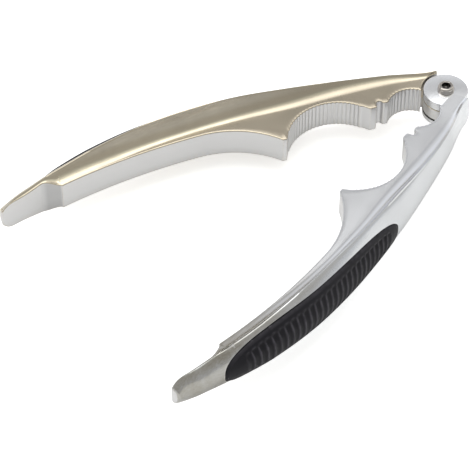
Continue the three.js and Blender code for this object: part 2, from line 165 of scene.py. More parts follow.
CORNER_AT = crossing(WALNUT, CORNER_REACH, 1)
CORNER_END = CORNER_AT + CORNER_WIDTH
WAIST_AT = crossing((CORNER_END, WAIST_RADIUS, WAIST_DEPTH), CORNER_REACH, 1)
GRIP_START = CORNER_AT + GRIP_SETBACK
GRIP_END = GRIP_START + GRIP_LENGTH
LEVER_LENGTH = GRIP_END + TIP_LENGTH
STEP_AT = GRIP_END - STEP_SETBACK
STEP_END = STEP_AT + STEP_LENGTH
WAIST = (WAIST_AT, WAIST_RADIUS, WAIST_DEPTH)
REACH = (WAIST_AT, REACH_RADIUS, WAIST_DEPTH)


def mix(a, b, share):
    return a + (b - a) * share


def smoothstep(x, low, high):
    t = min(1.0, max(0.0, (x - low) / (high - low)))
    return t * t * (3 - 2 * t)


def back_rows():
    """Along the lever: share of the back's full spread, ridge, crown, foot of the hollow flank."""

    def grip(share):
        return GRIP_START + share * GRIP_LENGTH

    def tip(share):
        return GRIP_END + share * TIP_LENGTH

    return [
        (BACK_START, 0.2, -EAR_RADIUS - 1.3, -EAR_RADIUS - 2.5, -8),
        (0.3 * CORNER_AT, 0.23, -14.2, -15.6, -9.7),
        (0.6 * CORNER_AT, 0.4, -16.7, -19.1, -10.6),
        (0.9 * CORNER_AT, 0.69, -17.6, -21.7, -10.9),
        (grip(0.13), 0.92, -18.3, -22.4, -12),
        (grip(0.34), 1, -17.6, -22.8, -11.9),
        (grip(0.55), 0.89, -16.1, -21.6, -9.9),
        (grip(0.77), 0.63, -12.6, -17.9, -6),
        (grip(0.87), 0.49, -10.3, -15.2, -3.8),
        (grip(0.98), 0.36, -7.2, -11.7, -1.5),
        (tip(0.45), 0.17, -3.9, -8, 0),
        (tip(1), 0.13, -0.6, -4, 1),
    ]


ROWS = back_rows()


def row_slopes(column):
    """Slope of the smooth curve through a column, at each row."""
    secants = [(b[column] - a[column]) / (b[0] - a[0]) for a, b in zip(ROWS, ROWS[1:])]
    middle = [(a + b) / 2 for a, b in zip(secants, secants[1:])]
    return [0.0, *middle, 0.0]


SLOPES = [row_slopes(column) for column in (1, 2, 3, 4)]


def back_at(x):
    """Spread, ridge, crown and foot on a smooth curve through the rows."""
    x = min(max(x, ROWS[0][0]), ROWS[-1][0])
    i = next(k for k in range(len(ROWS) - 1) if x <= ROWS[k + 1][0])
    step = ROWS[i + 1][0] - ROWS[i][0]
    p = (x - ROWS[i][0]) / step
    found = []
    for column in (1, 2, 3, 4):
        a, b = ROWS[i][column], ROWS[i + 1][column]
        slope_a, slope_b = SLOPES[column - 1][i] * step, SLOPES[column - 1][i + 1] * step
        found.append(
            (2 * p**3 - 3 * p**2 + 1) * a
            + (p**3 - 2 * p**2 + p) * slope_a
            + (3 * p**2 - 2 * p**3) * b
            + (p**3 - p**2) * slope_b
        )
    return found


def hollow_level(hollow, x):
    """Level of a round hollow's floor at a place along the lever."""
    at, radius, depth = hollow
    return radius - depth - math.sqrt(radius**2 - (x - at) ** 2)


def handle_edge(x):
    return hollow_level(WAIST if x < WAIST_AT else REACH, x)


def step_slope(x):
    """Level of the step's face, from the handle's edge down to the blade."""
    share = (x - STEP_AT) / STEP_LENGTH
    return mix(handle_edge(STEP_AT) - STEP_DROP, -STEP_DEPTH, math.sin(share * math.pi / 2))


def blade_face(x):
    """Level of the flat inner face of the tip."""
    left = max(0.0, LEVER_LENGTH - x) / (LEVER_LENGTH - STEP_END)
    return -STEP_DEPTH * left**BLADE_BOW


class Section:
    """The sizes of the lever's section at a place along it."""

    found = {}

    def __init__(self, x):
        spread, self.ridge, self.crown, self.foot = back_at(x)
        into_tip = max(0.0, x - LEVER_LENGTH + TIP_ROUNDING) / (TIP_ROUNDING + TIP_CUT)
        full_half = mix(WEB_HALF, RIDGE_HALF, spread)
        self.ridge_half = full_half * (1 - into_tip**TIP_FULLNESS) ** (1 / TIP_FULLNESS)
        on_blade = smoothstep(x, STEP_AT, STEP_END)
        self.web_half = mix(WEB_HALF, self.ridge_half - BLADE_RIM, on_blade)
        self.rise = self.ridge_half - self.web_half
        if x > STEP_AT:
            face = step_slope(x) if x < STEP_END else blade_face(x)
            self.foot = min(self.foot, face - RIM_WIDTH)
        self.foot = max(self.foot, self.ridge + LEAST_REACH)
        self.reach = self.foot - self.ridge
        bulge = self.ridge - self.crown
        self.radius = (self.ridge_half**2 + bulge**2) / (2 * bulge)
        self.half_angle = math.atan2(self.ridge_half, self.crown + self.radius - self.ridge)

    @classmethod
    def at(cls, x):
        """The section at a place, kept once it has been worked out."""
        key = round(min(max(x, BACK_START), LEVER_LENGTH), 3)
        if key not in cls.found:
            cls.found[key] = cls(key)
        return cls.found[key]

    def height(self, y):
        """Height of the web or of its hollow flank over the middle plane."""
        below = min(max(self.foot - y, 0.0), self.reach) / self.reach
        turn = 2 * FLANK_BEND - 1
        t = (FLANK_BEND - math.sqrt(max(0.0, FLANK_BEND**2 - turn * below))) / turn
        return self.web_half + t**2 * self.rise

    def on_back(self, angle, lift=0.0):
        """A point of the rounded back: angle from its crown, lifted off it."""
        centre = self.crown + self.radius
        return centre - (self.radius + lift) * math.cos(angle), (self.radius + lift) * math.sin(angle)


# --- The inner outline of a lever ---

TOOTH_POINTS = 12  # points along the outline of one tooth
TOOTH_ROUNDNESS = 0.8  # exponent of a tooth's outline
FINE_SPACING = 0.11  # between the points in which the outline's corners are rounded
JAW_SPACING, HANDLE_SPACING, TIP_SPACING = 0.22, 0.9, 0.5  # between sections of the finished skin
MATCHING_REACH = 6.0  # length of outline over which places along the back are evened out
TIP_ROUND = 0.9  # length of the rounded end of the tip


def evenly(start, end, count):
    return [mix(start, end, i / count) for i in range(count + 1)]


def hollow_line(hollow, start, end, count):
    return [(x, hollow_level(hollow, x)) for x in evenly(start, end, count)]


def toothed_line(hollow, start, end, pitch, tooth):
    """Outline of a round hollow whose wall carries teeth."""
    at, radius, depth = hollow
    first, last = math.asin((start - at) / radius), math.asin((end - at) / radius)
    teeth = round(radius * (last - first) / pitch)
    line = []
    for i in range(teeth * TOOTH_POINTS + 1):
        angle = mix(first, last, i / (teeth * TOOTH_POINTS))
        reach = radius - tooth * abs(math.sin(math.pi * i / TOOTH_POINTS)) ** TOOTH_ROUNDNESS
        line.append((at + reach * math.sin(angle), radius - depth - reach * math.cos(angle)))
    return line


def inner_line(sizes):
    """The whole inner outline, from the pivot axis to the tip."""
    pitch, tooth = sizes.tooth_pitch / MM, sizes.tooth_height / MM
    notch_level = NOTCH[1] - NOTCH[2]
    notch_from, notch_to = NOTCH[0] - NOTCH[1], NOTCH[0] + NOTCH[1]
    walnut_from = crossing(WALNUT, -BIG_NUB, -1)
    hazelnut_from = crossing(HAZELNUT, -SHOULDER_DEPTH, -1)
    return [
        (0, -SHOULDER_DEPTH),
        *toothed_line(HAZELNUT, hazelnut_from, crossing(HAZELNUT, -SMALL_NUB, 1), pitch, tooth),
        (notch_from - NUB_CORNER, -SMALL_NUB),
        (notch_from, -SMALL_NUB - NUB_CORNER),
        *[
            (NOTCH[0] - NOTCH[1] * math.cos(a), notch_level - NOTCH[1] * math.sin(a))
            for a in evenly(0, math.pi, 12)
        ],
        (notch_to, -BIG_NUB - 2 * NUB_CORNER),
        (notch_to + NUB_CORNER, -BIG_NUB),
        (walnut_from - NUB_CORNER, -BIG_NUB),
        *toothed_line(WALNUT, walnut_from + PLAIN_END, CORNER_AT - PLAIN_END, pitch, tooth),
        (CORNER_AT, CORNER_REACH),
        (CORNER_END, CORNER_REACH),
        *hollow_line(WAIST, CORNER_END, WAIST_AT, 30)[1:],
        *hollow_line(REACH, WAIST_AT, STEP_AT, 30)[1:],
        *[(x, step_slope(x)) for x in evenly(STEP_AT, STEP_END, 16)],
        *[(x, blade_face(x)) for x in evenly(STEP_END, LEVER_LENGTH - TIP_ROUND, 24)[1:]],
    ]


def resampled(line, spacing):
    """Points along a line, with a spacing that depends on where they are."""
    points = [Vector(p) for p in line]
    result = [points[0]]
    carried = 0.0
    for a, b in zip(points, points[1:]):
        run = (b - a).length
        place = spacing(a.x) - carried
        while place < run:
            result.append(a.lerp(b, place / run))
            place += spacing(a.x)
        carried = run - (place - spacing(a.x))
    return [*result, points[-1]]


def softened(points, window):
    """The same points with their corners rounded; the ends stay."""
    result = []
    for i in range(len(points)):
        w = min(window, i, len(points) - 1 - i)
        near = points[i - w : i + w + 1]
        result.append(sum(near, Vector((0, 0))) / len(near))
    return result


def station_spacing(x):
    if x < CORNER_AT + 3 or STEP_AT - 2 < x < STEP_AT + 4:
        return JAW_SPACING
    return TIP_SPACING if x > STEP_AT else HANDLE_SPACING


def stations(sizes):
    """Inner point, direction into the metal, and the place along the back that it goes with."""
    fine = softened(resampled(inner_line(sizes), lambda x: FINE_SPACING), 3)
    inner = resampled([tuple(p) for p in fine], station_spacing)
    normals = []
    for i in range(len(inner)):
        a, b = inner[max(0, i - 1)], inner[min(len(inner) - 1, i + 1)]
        along = (b - a).normalized()
        normals.append(Vector((along.y, -along.x)))
    run = [0.0]
    for a, b in zip(inner, inner[1:]):
        run.append(run[-1] + (b - a).length)
    places = []
    for i, p in enumerate(inner):
        half = min(MATCHING_REACH, run[i], run[-1] - run[i])
        total, weight = 0.0, 0.0
        for j in range(len(inner)):
            if abs(run[j] - run[i]) <= half + 1e-6:
                span = (run[min(j + 1, len(run) - 1)] - run[max(j - 1, 0)]) / 2
                total += inner[j].x * span
                weight += span
        places.append(total / weight if half > 0 else p.x)
    return list(zip(inner, normals, places))


# --- The levers ---

WALL_POINTS = 2
EDGE_POINTS = 4
WEB_POINTS = 4
FLANK_POINTS = 12
RIDGE_POINTS = 4
BACK_POINTS = 11
FOOT_SHARES = (0.06, 0.85)  # least and most of the ring's depth that lies on the flat web
RIDGE_SHARE = 0.12  # most of the ring's depth that goes into the rounded ridge
RIDGE_TURN = 0.8  # length of the back that the rounded ridge takes up
START_SHRINK, TIP_SHRINK = 0.93, 0.3  # the first and the last ring, against the whole section
TIP_TURNS = (15, 30, 45, 60, 72, 82)  # degrees round the end of the tip
ROUND_STEPS = 128  # faces round a disc
SAME_POINT = 1e-5


def half_ring(inner, normal, place, edge, ridge_round):
    """From the middle of the inner wall over the web and the flank to the crown of the back."""
    section = Section.at(place)
    edge = min(edge, 0.45 * (inner.y - section.ridge))
    rim = inner + normal * edge
    top = Section.at(rim.x).height(rim.y)
    wall = top - edge
    points = [Vector((inner.x, inner.y, wall * i / WALL_POINTS)) for i in range(WALL_POINTS + 1)]
    for i in range(1, EDGE_POINTS + 1):
        turn = math.pi / 2 * i / EDGE_POINTS
        flat = inner + normal * edge * (1 - math.cos(turn))
        points.append(Vector((flat.x, flat.y, top - edge * (1 - math.sin(turn)))))
    far = Vector((place, section.ridge))
    depth = max(rim.y - section.ridge, 0.1)
    at_foot = min(max((rim.y - section.foot) / depth, FOOT_SHARES[0]), FOOT_SHARES[1])
    at_ridge = 1 - min(ridge_round / depth, RIDGE_SHARE)
    shares = [at_foot * i / WEB_POINTS for i in range(1, WEB_POINTS + 1)]
    shares += [mix(at_foot, at_ridge, i / FLANK_POINTS) for i in range(1, FLANK_POINTS + 1)]
    for share in shares:
        flat = rim.lerp(far, share)
        points.append(Vector((flat.x, flat.y, Section.at(flat.x).height(flat.y))))
    start = points[-1]
    corner = Vector((place, section.ridge, section.ridge_half))
    past = section.half_angle - min(RIDGE_TURN / section.radius, section.half_angle * 0.15)
    y, z = section.on_back(past)
    end = Vector((place, y, z))
    for i in range(1, RIDGE_POINTS):
        t = i / RIDGE_POINTS
        points.append(start * (1 - t) ** 2 + corner * 2 * t * (1 - t) + end * t**2)
    for i in range(BACK_POINTS + 1):
        y, z = section.on_back(past * (1 - i / BACK_POINTS))
        points.append(Vector((place, y, z)))
    return points


def whole_ring(half):
    """The half ring and its mirror image under the middle plane."""
    return [*half, *[Vector((p.x, p.y, -p.z)) for p in half[-2:0:-1]]]


def shrunk(ring, x, share):
    """The ring drawn in towards its middle, in a plane across the lever."""
    middle = sum(ring, Vector()) / len(ring)
    base = sum(p.x for p in ring) / len(ring)
    result = []
    for p in ring:
        q = middle + (p - middle) * share
        result.append(Vector((x + (p.x - base) * share, q.y, q.z)))
    return result


def skin(bm, rings):
    """A closed skin over a row of rings: a grid laid over them, sewn up, with both ends filled."""
    around = len(rings[0])
    made = bmesh.ops.create_grid(bm, x_segments=around, y_segments=len(rings) - 1, size=1)
    for i, vertex in enumerate(made["verts"]):
        row, column = divmod(i, around + 1)
        vertex.co = rings[row][column % around]
    bmesh.ops.remove_doubles(bm, verts=made["verts"], dist=SAME_POINT)
    open_edges = [e for e in bm.edges if e.is_boundary]
    if open_edges:
        filled = bmesh.ops.holes_fill(bm, edges=open_edges, sides=0)
        bmesh.ops.triangulate(bm, faces=filled["faces"])
    bmesh.ops.recalc_face_normals(bm, faces=bm.faces[:])


def lever_skin(bm, sizes):
    """One lever before its pivot end and its pocket are cut, with both ends rounded."""
    edge, ridge_round = sizes.edge / MM, sizes.ridge_round / MM
    rings = [whole_ring(half_ring(*station, edge, ridge_round)) for station in stations(sizes)]
    first, last = rings[0], rings[-1]
    start = []
    for share in (0, 0.15, 0.4, 0.7):
        size = mix(START_SHRINK, 1, math.sin(share * math.pi / 2))
        start.append(shrunk(first, BACK_START * (1 - share), size))
    tip = []
    for degrees in TIP_TURNS:
        turn = math.radians(degrees)
        past = TIP_ROUND * math.sin(turn) / math.sin(math.radians(TIP_TURNS[-1]))
        tip.append(shrunk(last, LEVER_LENGTH - TIP_ROUND + past, mix(TIP_SHRINK, 1, math.cos(turn))))
    skin(bm, [*start, *rings, *tip])


def disc(bm, radius, bottom, top, rim=0.0):
    """A round disc on the pivot axis with a rounded rim."""
    bmesh.ops.create_cone(
        bm, cap_ends=True, segments=ROUND_STEPS, radius1=radius, radius2=radius, depth=top - bottom,
        matrix=Matrix.Translation((0, 0, (top + bottom) / 2)),
    )
    if rim:
        ends = [e for e in bm.edges if abs(e.verts[0].co.z - e.verts[1].co.z) < SAME_POINT]
        bmesh.ops.bevel(bm, geom=ends, offset=rim, offset_type="OFFSET", segments=4, profile=0.5,
                        affect="EDGES", material=-1)


def flared_disc(bm, radius, bottom, top, level, flare):
    """A cutter that leaves a rounded edge where it comes out of the web at a level."""
    side = 1 if top > level else -1
    low, high = (bottom, top) if side > 0 else (top, bottom)
    heights = [(low, radius), (level - side * flare, radius)]
    heights += [
        (level - side * flare * (1 - math.sin(a)), radius + flare * (1 - math.cos(a)))
        for a in evenly(0, math.pi / 2, 4)[1:]
    ]
    heights.append((high, radius + flare))
    profile = [bm.verts.new((0, 0, low))]
    profile += [bm.verts.new((r, 0, z)) for z, r in heights]
    profile.append(bm.verts.new((0, 0, high)))
    edges = [bm.edges.new(pair) for pair in zip(profile, profile[1:])]
    bmesh.ops.spin(bm, geom=[*profile, *edges], cent=(0, 0, 0), axis=(0, 0, 1), angle=2 * math.pi,
                   steps=ROUND_STEPS, use_merge=True)
    bmesh.ops.remove_doubles(bm, verts=bm.verts[:], dist=SAME_POINT)
    bmesh.ops.recalc_face_normals(bm, faces=bm.faces[:])


def oval_half_width(x, margin=0.0):
    """Half the width of the grip's oval outline."""
    share = abs(x - GRIP_START - GRIP_LENGTH / 2) / (GRIP_LENGTH / 2 + margin)
    if share >= 1:
        return 0.0
    return (GRIP_WIDTH / 2 + margin) * (1 - share**GRIP_FULLNESS) ** (1 / GRIP_FULLNESS)


def oval_places(count, margin=0.0):
    """Places along the oval, close together at its ends."""
    half = GRIP_LENGTH / 2 + margin
    centre = GRIP_START + GRIP_LENGTH / 2
    return [centre - half * math.cos(math.pi * i / count) for i in range(count + 1)]


def on_back(x, across, lift):
    """A point over the back: along the lever, across it, and lifted off it."""
    section = Section.at(x)
    angle = math.asin(max(-1.0, min(1.0, across / section.radius)))
    y, z = section.on_back(angle, lift)
    return Vector((x, y, z))


POCKET_REACH = 3.0  # how far the pocket's cutter stands above the back


def pocket_cutter(bm):
    """What is cut from the back for the grip."""
    rings = []
    for x in oval_places(120, GRIP_GAP):
        width = max(oval_half_width(x, GRIP_GAP), 0.01)
        across = [width * math.sin(math.pi / 2 * t) for t in evenly(-1, 1, 24)]
        ring = [on_back(x, w, POCKET_REACH) for w in across]
        ring += [on_back(x, w, -GRIP_DEPTH - GRIP_GAP) for w in reversed(across)]
        rings.append(ring)
    skin(bm, rings)


# --- Putting pieces in the scene ---


def lever_matrix(side):
    """From a lever's own plane to the frame; side is 1 for the tongue and -1 for the fork."""
    turn = Matrix.Rotation(math.pi - side * OPENING / 2, 4, "Z")
    return Matrix.Translation(PIVOT) @ turn @ Matrix.Diagonal((MM, side * MM, MM, 1))


PIVOT_MATRIX = Matrix.Translation(PIVOT) @ Matrix.Diagonal((MM, MM, MM, 1))


def solid(name, draw, *arguments):
    """A loose object, in millimetres in its own plane."""
    bm = bmesh.new()
    draw(bm, *arguments)
    mesh = bpy.data.meshes.new(name)
    bm.to_mesh(mesh)
    bm.free()
    made = bpy.data.objects.new(name, mesh)
    bpy.context.scene.collection.objects.link(made)
    return made


FEWEST_FACES = 100  # fewer than this, and a cut has gone wrong
WELD = 1e-4  # millimetres within which points are joined after cutting


def carve(piece, *steps):
    """Joins to a piece, or cuts from it, one solid after another."""
    for operation, cutter in steps:
        modifier = piece.modifiers.new("carve", "BOOLEAN")
        modifier.operation = operation
        modifier.solver = "MANIFOLD"
        modifier.object = cutter
    bpy.context.view_layer.update()
    shaped = bpy.data.meshes.new_from_object(piece.evaluated_get(bpy.context.evaluated_depsgraph_get()))
    piece.modifiers.clear()
    piece.data = shaped
    for _, cutter in steps:
        bpy.data.objects.remove(cutter)
    if len(shaped.polygons) < FEWEST_FACES:
        raise RuntimeError(f"{piece.name} was lost while it was being cut")
    return piece


def place(piece, matrix, body, slot, material, smooth_below=35):
    """Moves the mesh into the frame, and gives the piece its body and finish; the slot is not used."""
    bm = bmesh.new()
    bm.from_mesh(piece.data)
    bmesh.ops.remove_doubles(bm, verts=bm.verts[:], dist=WELD)
    bmesh.ops.dissolve_degenerate(bm, edges=bm.edges[:], dist=WELD)
    bmesh.ops.transform(bm, matrix=matrix, verts=bm.verts[:])
    bmesh.ops.recalc_face_normals(bm, faces=bm.faces[:])
    for face in bm.faces:
        face.smooth = True
    bm.to_mesh(piece.data)
    bm.free()
    piece.data.set_sharp_from_angle(angle=math.radians(smooth_below))
    piece.data.materials.clear()
    piece.data.materials.append(material)
    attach(piece, body)
    return piece


# --- Finishes ---


class Nodes:
    """A node tree with short ways to add nodes and wires."""

    def __init__(self, tree):
        self.tree = tree
        tree.nodes.clear()

    def add(self, kind, settings=None, **inputs):
        node = self.tree.nodes.new(kind)
        for key, value in (settings or {}).items():
            setattr(node, key, value)
        for key, value in inputs.items():
            self.feed(node.inputs[key.replace("_", " ")], value)
        return node

    def feed(self, socket, value):
        if isinstance(value, bpy.types.NodeSocket):
            self.tree.links.new(value, socket)
        else:
            socket.default_value = value

    def maths(self, operation, *values):
        node = self.tree.nodes.new("ShaderNodeMath")
        node.operation = operation
        for socket, value in zip(node.inputs, values):
            self.feed(socket, value)
        return node.outputs[0]

    def noise(self, vector, scale, detail):
        return self.add("ShaderNodeTexNoise", Vector=vector, Scale=scale, Detail=detail).outputs[0]

    def product(self, first, *others):
        for other in others:
            first = self.maths("MULTIPLY", first, other)
        return first

    def blend(self, share, a, b):
        node = self.add("ShaderNodeMix", {"data_type": "RGBA"})
        for socket, value in ((0, share), (6, a), (7, b)):
            self.feed(node.inputs[socket], value)
        return node.outputs[2]

    def ranged(self, value, low, high, to_low=0.0, to_high=1.0):
        node = self.add("ShaderNodeMapRange", Value=value)
        numbers = {"From Min": low, "From Max": high, "To Min": to_low, "To Max": to_high}
        for name, number in numbers.items():
            node.inputs[name].default_value = number
        return node.outputs["Result"]


def group(name, inputs, outputs, build):
    """A node group, made once; inputs and outputs are (name, socket type, default) rows."""
    tree = bpy.data.node_groups.get(name)
    if tree:
        return tree
    tree = bpy.data.node_groups.new(name, "ShaderNodeTree")
    for in_out, rows in (("INPUT", inputs), ("OUTPUT", outputs)):
        for socket_name, kind, default in rows:
            socket = tree.interface.new_socket(socket_name, in_out=in_out, socket_type=kind)
            if default is not None:
                socket.default_value = default
    nodes = Nodes(tree)
    given = nodes.add("NodeGroupInput")
    taken = nodes.add("NodeGroupOutput")
    for socket_name, value in build(nodes, given.outputs).items():
        nodes.feed(taken.inputs[socket_name], value)
    return tree


FLOAT, VECTOR = "NodeSocketFloat", "NodeSocketVector"


def satin_grain():
    """Fine blasted grain with long faint brush strokes: a height, and a mask for roughness."""

    def build(nodes, given):
        stretch = nodes.add("ShaderNodeMapping", Vector=given["Vector"], Scale=(0.05, 1.0, 1.0))
        fine = nodes.noise(given["Vector"], given["Fine"], 3.0)
        strokes = nodes.maths("MULTIPLY", nodes.noise(stretch.outputs[0], given["Strokes"], 4.0), 0.4)
        broad = nodes.noise(given["Vector"], given["Broad"], 2.0)
        height = nodes.maths("ADD", nodes.maths("MULTIPLY", fine, 0.6), strokes)
        cloud = nodes.maths("ADD", nodes.maths("MULTIPLY", broad, 0.6), strokes)
        return {"Height": height, "Cloud": nodes.ranged(cloud, 0.35, 0.65)}

    return group(
        "satin grain",
        [
            ("Vector", VECTOR, None),
            ("Fine", FLOAT, 6000.0),
            ("Strokes", FLOAT, 2500.0),
            ("Broad", FLOAT, 90.0),
        ],
        [("Height", FLOAT, None), ("Cloud", FLOAT, None)],
        build,
    )


def edge_wear_and_sheen():
    """How worn an edge is, broken up by noise; on the grip's ribs it also places a painted highlight.
    """

    def build(nodes, given):
        point = nodes.add("ShaderNodeNewGeometry").outputs["Pointiness"]
        sharp = nodes.ranged(point, 0.505, 0.56)
        broken = nodes.ranged(nodes.noise(given["Vector"], given["Patches"], 3.0), 0.3, 0.6, 0.35, 1.0)
        return {"Wear and sheen": nodes.product(sharp, broken, given["Amount"])}

    return group(
        "edge wear and sheen",
        [("Vector", VECTOR, None), ("Patches", FLOAT, 400.0), ("Amount", FLOAT, 1.0)],
        [("Wear and sheen", FLOAT, None)],
        build,
    )


def lever_space(nodes, side):
    """Object coordinates turned into the lever's own plane, and the matching surface direction."""
    coordinates = nodes.add("ShaderNodeTexCoord")
    turn = math.pi - side * OPENING / 2
    shift = nodes.add("ShaderNodeVectorMath", {"operation": "SUBTRACT"})
    nodes.feed(shift.inputs[0], coordinates.outputs["Object"])
    shift.inputs[1].default_value = PIVOT
    upright = {"rotation_type": "Z_AXIS"}
    turned = [
        nodes.add("ShaderNodeVectorRotate", upright, Vector=vector, Angle=-turn)
        for vector in (shift.outputs[0], coordinates.outputs["Normal"])
    ]
    return [node.outputs[0] for node in turned]


def new_material(name):
    material = bpy.data.materials.new(name)
    material.use_nodes = True
    return material, Nodes(material.node_tree)


def shade(nodes, settings, **inputs):
    surface = nodes.add("ShaderNodeBsdfPrincipled", None, **inputs)
    for key, value in settings.items():
        surface.inputs[key].default_value = value
    output = nodes.add("ShaderNodeOutputMaterial")
    nodes.feed(output.inputs["Surface"], surface.outputs[0])


def bumped(nodes, height, distance, strength):
    bump = nodes.add("ShaderNodeBump", Height=height, Distance=distance, Strength=strength)
    return bump.outputs[0]


def rgba(value, level=1.0):
    return (*[min(1.0, c * level) for c in value], 1.0)


def grain_and_edge_marks(nodes, vector):
    """The nodes for a finish's grain and for its sharp edges: worn edges, and on the grip's ribs a
    painted highlight.
    """
    made = [nodes.add("ShaderNodeGroup", {"node_tree": tree}) for tree in (satin_grain(), edge_wear_and_sheen())]
    for node in made:
        nodes.feed(node.inputs["Vector"], vector)
    return made


def inner_wall_mask(nodes, side, at, faces):
    """Where a lever's upright inner faces are. Places are in metres."""
    upright = nodes.ranged(nodes.maths("ABSOLUTE", faces[2]), 0.22, 0.32, 1.0, 0.0)
    inner = nodes.ranged(nodes.maths("MULTIPLY", at[1], float(side)), -0.0122, -0.0112)
    plate = nodes.ranged(at[0], (STEP_AT - 1) * MM, (STEP_END + 1) * MM, WEB_HALF * MM, 0.0083)
    above = nodes.maths("SUBTRACT", nodes.maths("ABSOLUTE", at[2]), plate)
    level = nodes.ranged(above, -0.0003, 0.0001, 1.0, 0.0)
    turned_in = nodes.ranged(nodes.maths("MULTIPLY", faces[1], float(side)), -0.35, -0.2)
    return nodes.product(upright, inner, level, turned_in)


def satin_nickel(name, side, near, far, wall_reflection, fade):
    """Satin plating with painted reflection: its tone turns from one to another along the lever, is
    lighter near the pivot, and differs on the upright inner faces, which a painted shadow darkens in
    the step.
    """
    material, nodes = new_material(name)
    space, facing = lever_space(nodes, side)
    at = nodes.add("ShaderNodeSeparateXYZ", Vector=space).outputs
    faces = nodes.add("ShaderNodeSeparateXYZ", Vector=facing).outputs
    along = at[0]
    inward = inner_wall_mask(nodes, side, at, faces)
    grain, edge_mask = grain_and_edge_marks(nodes, space)
    # Painted reflection: the tone turns from near to far along the lever.
    tone = nodes.blend(nodes.ranged(along, *fade), rgba(near), rgba(far))
    # Painted reflection: lighter within 10 to 20 mm of the pivot, over the ears and the knuckle.
    tone = nodes.blend(nodes.ranged(along, 0.010, 0.020), rgba(near, 1.3), tone)
    dull = nodes.blend(0.5, tone, rgba(near, 0.93))
    tone = nodes.blend(grain.outputs["Cloud"], tone, dull)
    # Painted shadow: where the step lies along the lever, its inner faces are darkened.
    past_step = nodes.ranged(along, (STEP_END - 2) * MM, (STEP_END + 1) * MM, 1.0, 0.0)
    step_shadow = nodes.product(nodes.ranged(along, STEP_AT * MM, (STEP_AT + 0.4) * MM), past_step)
    # Painted reflection: the upright inner faces take their own tone, which painted shadow darkens to
    # 0.7 in the step.
    tone = nodes.blend(inward, tone, nodes.blend(step_shadow, rgba(wall_reflection), rgba(wall_reflection, 0.7)))
    tone = nodes.blend(nodes.product(edge_mask.outputs[0], 0.5), tone, rgba(near, 1.18))
    rough = nodes.ranged(grain.outputs["Cloud"], 0.0, 1.0, 0.20, 0.26)
    rough = nodes.maths("SUBTRACT", rough, nodes.maths("MULTIPLY", edge_mask.outputs[0], 0.05))
    rough = nodes.maths("ADD", rough, nodes.maths("MULTIPLY", inward, 0.08))
    normal = bumped(nodes, grain.outputs["Height"], 0.00002, 0.25)
    shade(nodes, {"Metallic": 1.0}, Base_Color=tone, Roughness=rough, Normal=normal)
    return material


def polished_steel(name, tone):
    """Polished steel, darkened round the pivot axis as painted shade in the socket."""
    material, nodes = new_material(name)
    vector = nodes.add("ShaderNodeTexCoord").outputs["Object"]
    grain, edge_mask = grain_and_edge_marks(nodes, vector)
    edge_mask.inputs["Patches"].default_value = 1500.0
    base = nodes.blend(grain.outputs["Cloud"], rgba(tone), rgba(tone, 0.9))
    base = nodes.blend(edge_mask.outputs[0], base, rgba(tone, 1.15))
    off_axis = nodes.add("ShaderNodeVectorMath", {"operation": "SUBTRACT"})
    nodes.feed(off_axis.inputs[0], vector)
    off_axis.inputs[1].default_value = PIVOT
    across = nodes.add("ShaderNodeSeparateXYZ", Vector=off_axis.outputs[0]).outputs
    squares = [nodes.maths("POWER", across[i], 2.0) for i in (0, 1)]
    reach = nodes.maths("SQRT", nodes.maths("ADD", *squares))
    # Painted shade: within 1.7 to 1.9 mm of the pivot axis the steel is darkened, in the socket.
    socket = nodes.ranged(reach, 0.0017, 0.0019, 1.0, 0.0)
    base = nodes.blend(socket, base, rgba(tone, 0.16))
    rough = nodes.ranged(grain.outputs["Cloud"], 0.0, 1.0, 0.09, 0.15)
    normal = bumped(nodes, grain.outputs["Height"], 0.00001, 0.15)
    shade(nodes, {"Metallic": 1.0}, Base_Color=base, Roughness=rough, Normal=normal)
    return material


def moulded(name, tone, roughness, bump, rubbed_and_sheen_tone, gloss=0.5):
    """Rubber or nylon with a fine moulded grain, a little paler on its sharp edges and crests: rubbed
    wear, and on the grip's ribs a painted highlight.
    """
    material, nodes = new_material(name)
    vector = nodes.add("ShaderNodeTexCoord").outputs["Object"]
    grain, edge_mask = grain_and_edge_marks(nodes, vector)
    grain.inputs["Fine"].default_value = 2600.0
    grain.inputs["Broad"].default_value = 160.0
    base = nodes.blend(grain.outputs["Cloud"], rgba(tone), rgba(tone, 1.35))
    # Paler edges: rubbed wear, and on the grip's ribs a painted highlight.
    base = nodes.blend(edge_mask.outputs[0], base, rgba(rubbed_and_sheen_tone))
    rough = nodes.ranged(grain.outputs["Cloud"], 0.0, 1.0, roughness, roughness + 0.1)
    rough = nodes.maths("ADD", rough, nodes.maths("MULTIPLY", edge_mask.outputs[0], 0.08))
    normal = bumped(nodes, grain.outputs["Height"], bump, 0.5)
    settings = {"Metallic": 0.0, "Specular IOR Level": gloss}
    shade(nodes, settings, Base_Color=base, Roughness=rough, Normal=normal)
    return material


# --- The pieces ---


RIB_BOW = 0.8  # how far the ribs bow towards the pivot at the grip's edges
RIB_SHARPNESS = 1.7  # exponent of a rib's profile


